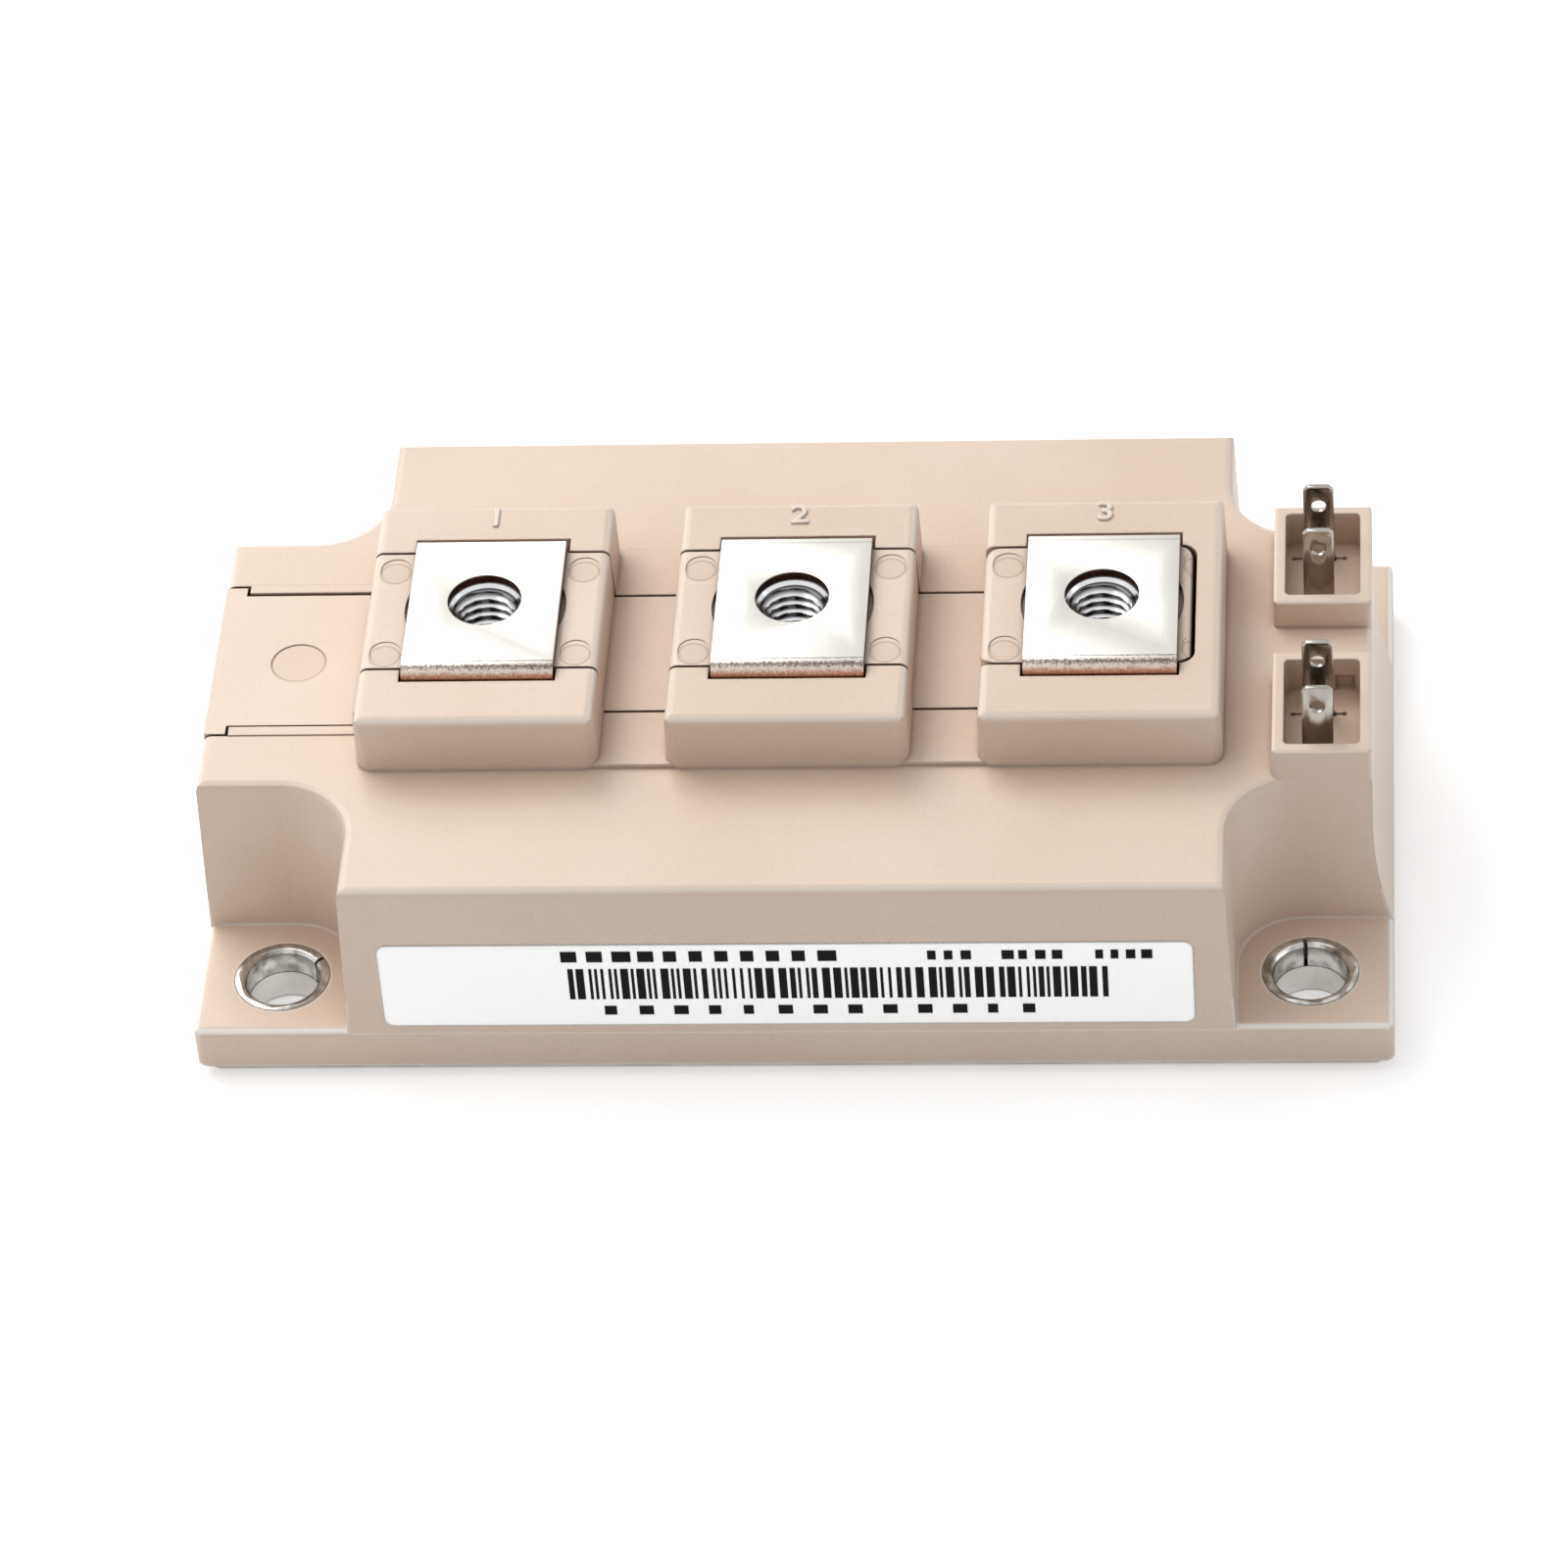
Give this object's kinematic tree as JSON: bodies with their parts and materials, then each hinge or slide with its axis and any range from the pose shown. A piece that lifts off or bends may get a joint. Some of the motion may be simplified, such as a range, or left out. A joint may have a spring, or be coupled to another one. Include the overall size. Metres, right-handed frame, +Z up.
{
  "type": "igbt module",
  "caption": "Flat half-bridge power module: screw terminals on towers over a metal base plate, fixing ears with steel collars, and shrouded control tabs at one end.",
  "frame": {"origin": "centre of the mounting face, the underside of the metal base plate", "axes": "+Z up out of the mounting face, +X along the length towards the control tabs, +Y across the width away from the labelled face"},
  "size_m": [0.108, 0.062, 0.0306],
  "materials": {
    "housing_plastic": "fine-textured moulded thermoplastic, pale peach beige",
    "bar_plastic": "smooth moulded thermoplastic, pale beige",
    "plate_metal": "nickel-plated copper, matt, finely ground underside",
    "collar_steel": "rolled steel strip, bright",
    "strap_metal": "nickel-plated copper strip with bare coppery cut edges",
    "nut_steel": "zinc-plated steel",
    "tab_metal": "tin-plated brass, bright",
    "ceramic": "white alumina, matt",
    "copper": "bare copper, satin",
    "silicon": "metallised silicon, polished grey",
    "aluminium_wire": "drawn wire, bright",
    "gel": "clear soft silicone, wet gloss",
    "label": "matt white film with plain dark bars"
  },
  "bodies": {
    "root": {"base_plate": "plate_metal", "housing": "housing_plastic", "nut_bar": "bar_plastic", "label_film": "label", "collar_1": "collar_steel", "collar_2": "collar_steel", "collar_3": "collar_steel", "collar_4": "collar_steel", "terminal_1": "strap_metal", "terminal_2": "strap_metal", "terminal_3": "strap_metal", "nut_1": "nut_steel", "nut_2": "nut_steel", "nut_3": "nut_steel", "control_tab_1": "tab_metal", "control_tab_2": "tab_metal", "control_tab_3": "tab_metal", "control_tab_4": "tab_metal", "ceramic_left": "ceramic", "ceramic_right": "ceramic", "back_copper_left": "copper", "back_copper_right": "copper", "copper_tracks_left": "copper", "copper_tracks_right": "copper", "igbt_chip_1": "silicon", "igbt_chip_2": "silicon", "igbt_chip_3": "silicon", "igbt_chip_4": "silicon", "diode_chip_1": "silicon", "diode_chip_2": "silicon", "diode_chip_3": "silicon", "diode_chip_4": "silicon", "bond_wires_left": "aluminium_wire", "bond_wires_right": "aluminium_wire", "silicone_gel": "gel"}
  },
  "joints": []
}
